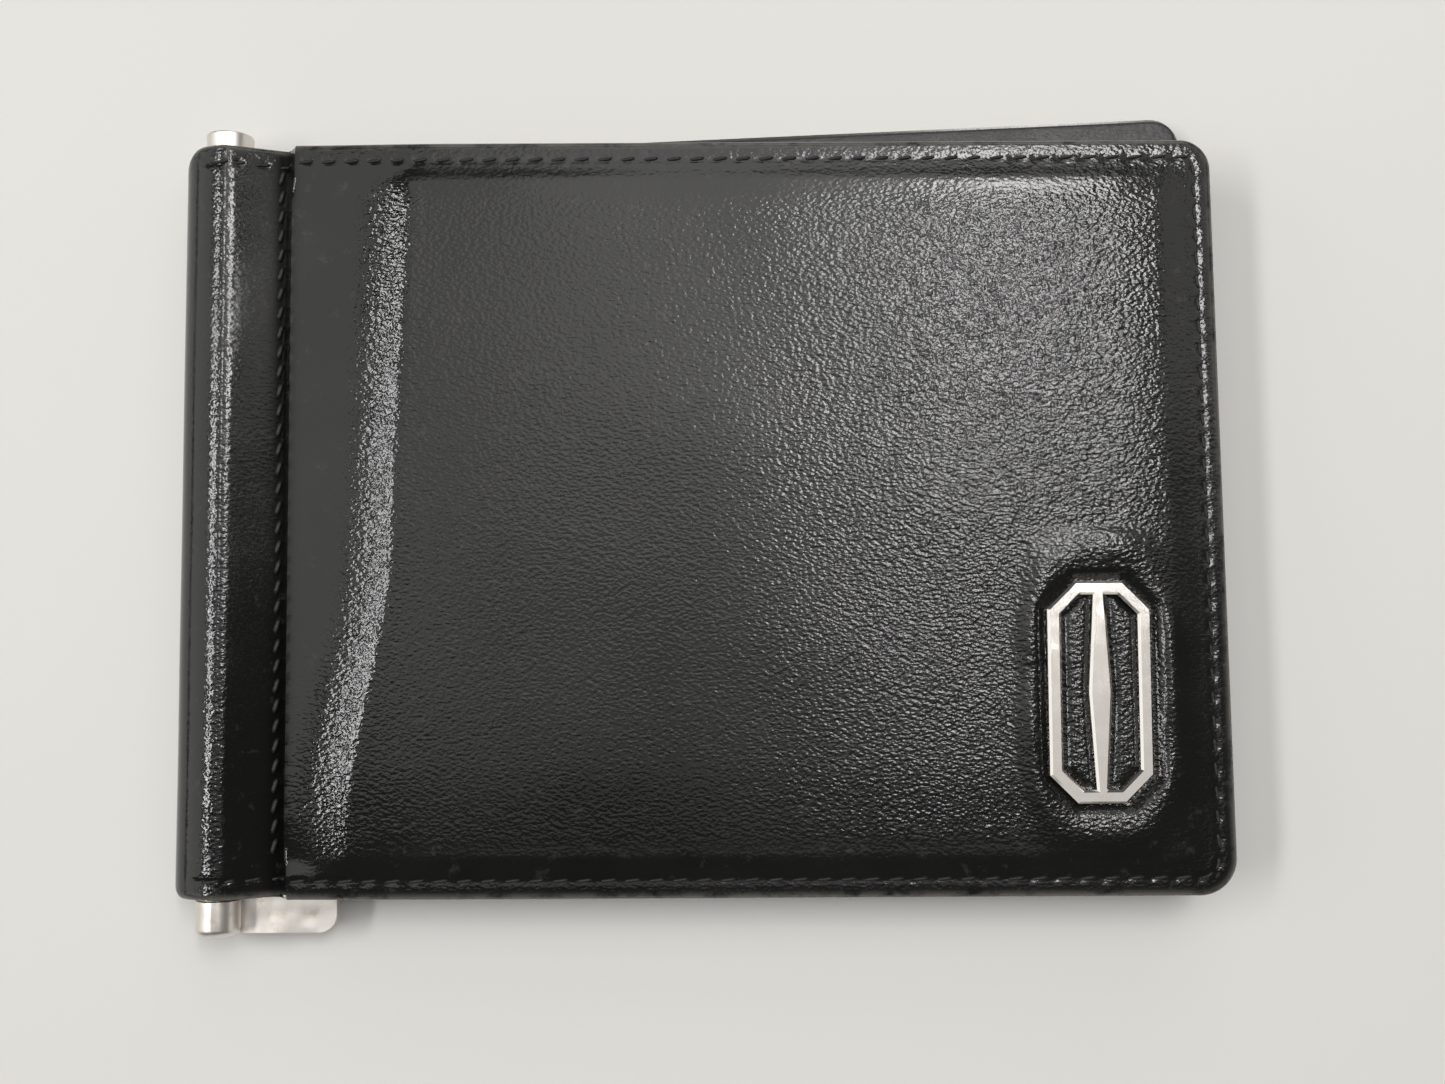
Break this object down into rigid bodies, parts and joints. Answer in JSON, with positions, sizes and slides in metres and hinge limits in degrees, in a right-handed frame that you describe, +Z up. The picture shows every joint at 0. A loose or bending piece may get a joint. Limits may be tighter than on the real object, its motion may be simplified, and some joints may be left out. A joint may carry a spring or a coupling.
{
  "type": "money clip wallet",
  "caption": "Folding leather note wallet with card pockets and a sprung metal money clip held in a tube along its spine.",
  "frame": {"origin": "on the outer face of the back cover, under the middle of the front cover, wallet lying closed on its back cover", "axes": "+X from the spine to the free edges, +Y from the wallet's bottom edge to its top edge, +Z up through the closed covers"},
  "size_m": [0.1124, 0.0889, 0.0105],
  "materials": {
    "outer_leather": "smooth black calf, semi-gloss, lightly worn",
    "lining_leather": "matt black lining leather",
    "pocket_leather": "smooth black leather, satin",
    "padding": "soft grey felt",
    "stiffener_board": "bonded fibre board",
    "thread": "waxed black polyester thread",
    "plated_metal": "bright nickel plate, lightly worn",
    "emblem_metal": "polished nickel plate",
    "spring_steel": "plain drawn steel",
    "bronze": "sintered bronze"
  },
  "bodies": {
    "back_cover": {"back_card_pocket_bottom": "pocket_leather", "back_card_pocket_middle": "pocket_leather", "back_card_pocket_top": "pocket_leather", "back_channel_flap": "pocket_leather", "back_cover_leather": "outer_leather", "back_edge_stitches": "thread", "back_fold_leather": "outer_leather", "back_lining": "lining_leather", "back_padding": "padding", "back_pocket_panel": "pocket_leather", "back_pocket_stitches": "thread", "back_seam_stitches": "thread"},
    "spine": {"spine_leather": "outer_leather", "spine_stiffener": "stiffener_board", "spine_lining": "lining_leather", "channel_strip": "pocket_leather", "clip_tube": "plated_metal", "tube_end_cap": "plated_metal", "shaft_bushing": "bronze", "spring_anchor": "spring_steel", "torsion_spring": "spring_steel", "retaining_pin": "spring_steel"},
    "front_cover": {"emblem": "emblem_metal", "emblem_retainers": "spring_steel", "front_card_pocket_bottom": "pocket_leather", "front_card_pocket_middle": "pocket_leather", "front_card_pocket_top": "pocket_leather", "front_channel_flap": "pocket_leather", "front_cover_leather": "outer_leather", "front_edge_stitches": "thread", "front_fold_leather": "outer_leather", "front_lining": "lining_leather", "front_padding": "padding", "front_pocket_panel": "pocket_leather", "front_pocket_stitches": "thread", "front_seam_stitches": "thread"},
    "clip": {"clip_shaft": "spring_steel", "clip_knuckle": "plated_metal", "knuckle_pin": "spring_steel", "clip_plate": "plated_metal"}
  },
  "joints": [
    {"name": "spine_fold", "type": "hinge", "parent": "back_cover", "child": "spine", "pos_m": [-0.0522, 0, 0.0039], "axis": [0, -1, 0], "range_deg": [0, 90], "deforming": ["back_fold_leather"]},
    {"name": "front_cover_fold", "type": "hinge", "parent": "spine", "child": "front_cover", "pos_m": [-0.0522, 0, 0.0061], "axis": [0, -1, 0], "range_deg": [0, 90], "deforming": ["front_fold_leather"]},
    {"name": "clip_swing", "type": "hinge", "parent": "spine", "child": "clip", "pos_m": [-0.0511, 0, 0.005], "axis": [0, -1, 0], "range_deg": [-90, 0], "deforming": ["torsion_spring"]}
  ],
  "couplings": [
    {"joint": "clip_swing", "follows": "spine_fold", "ratio": -1}
  ]
}
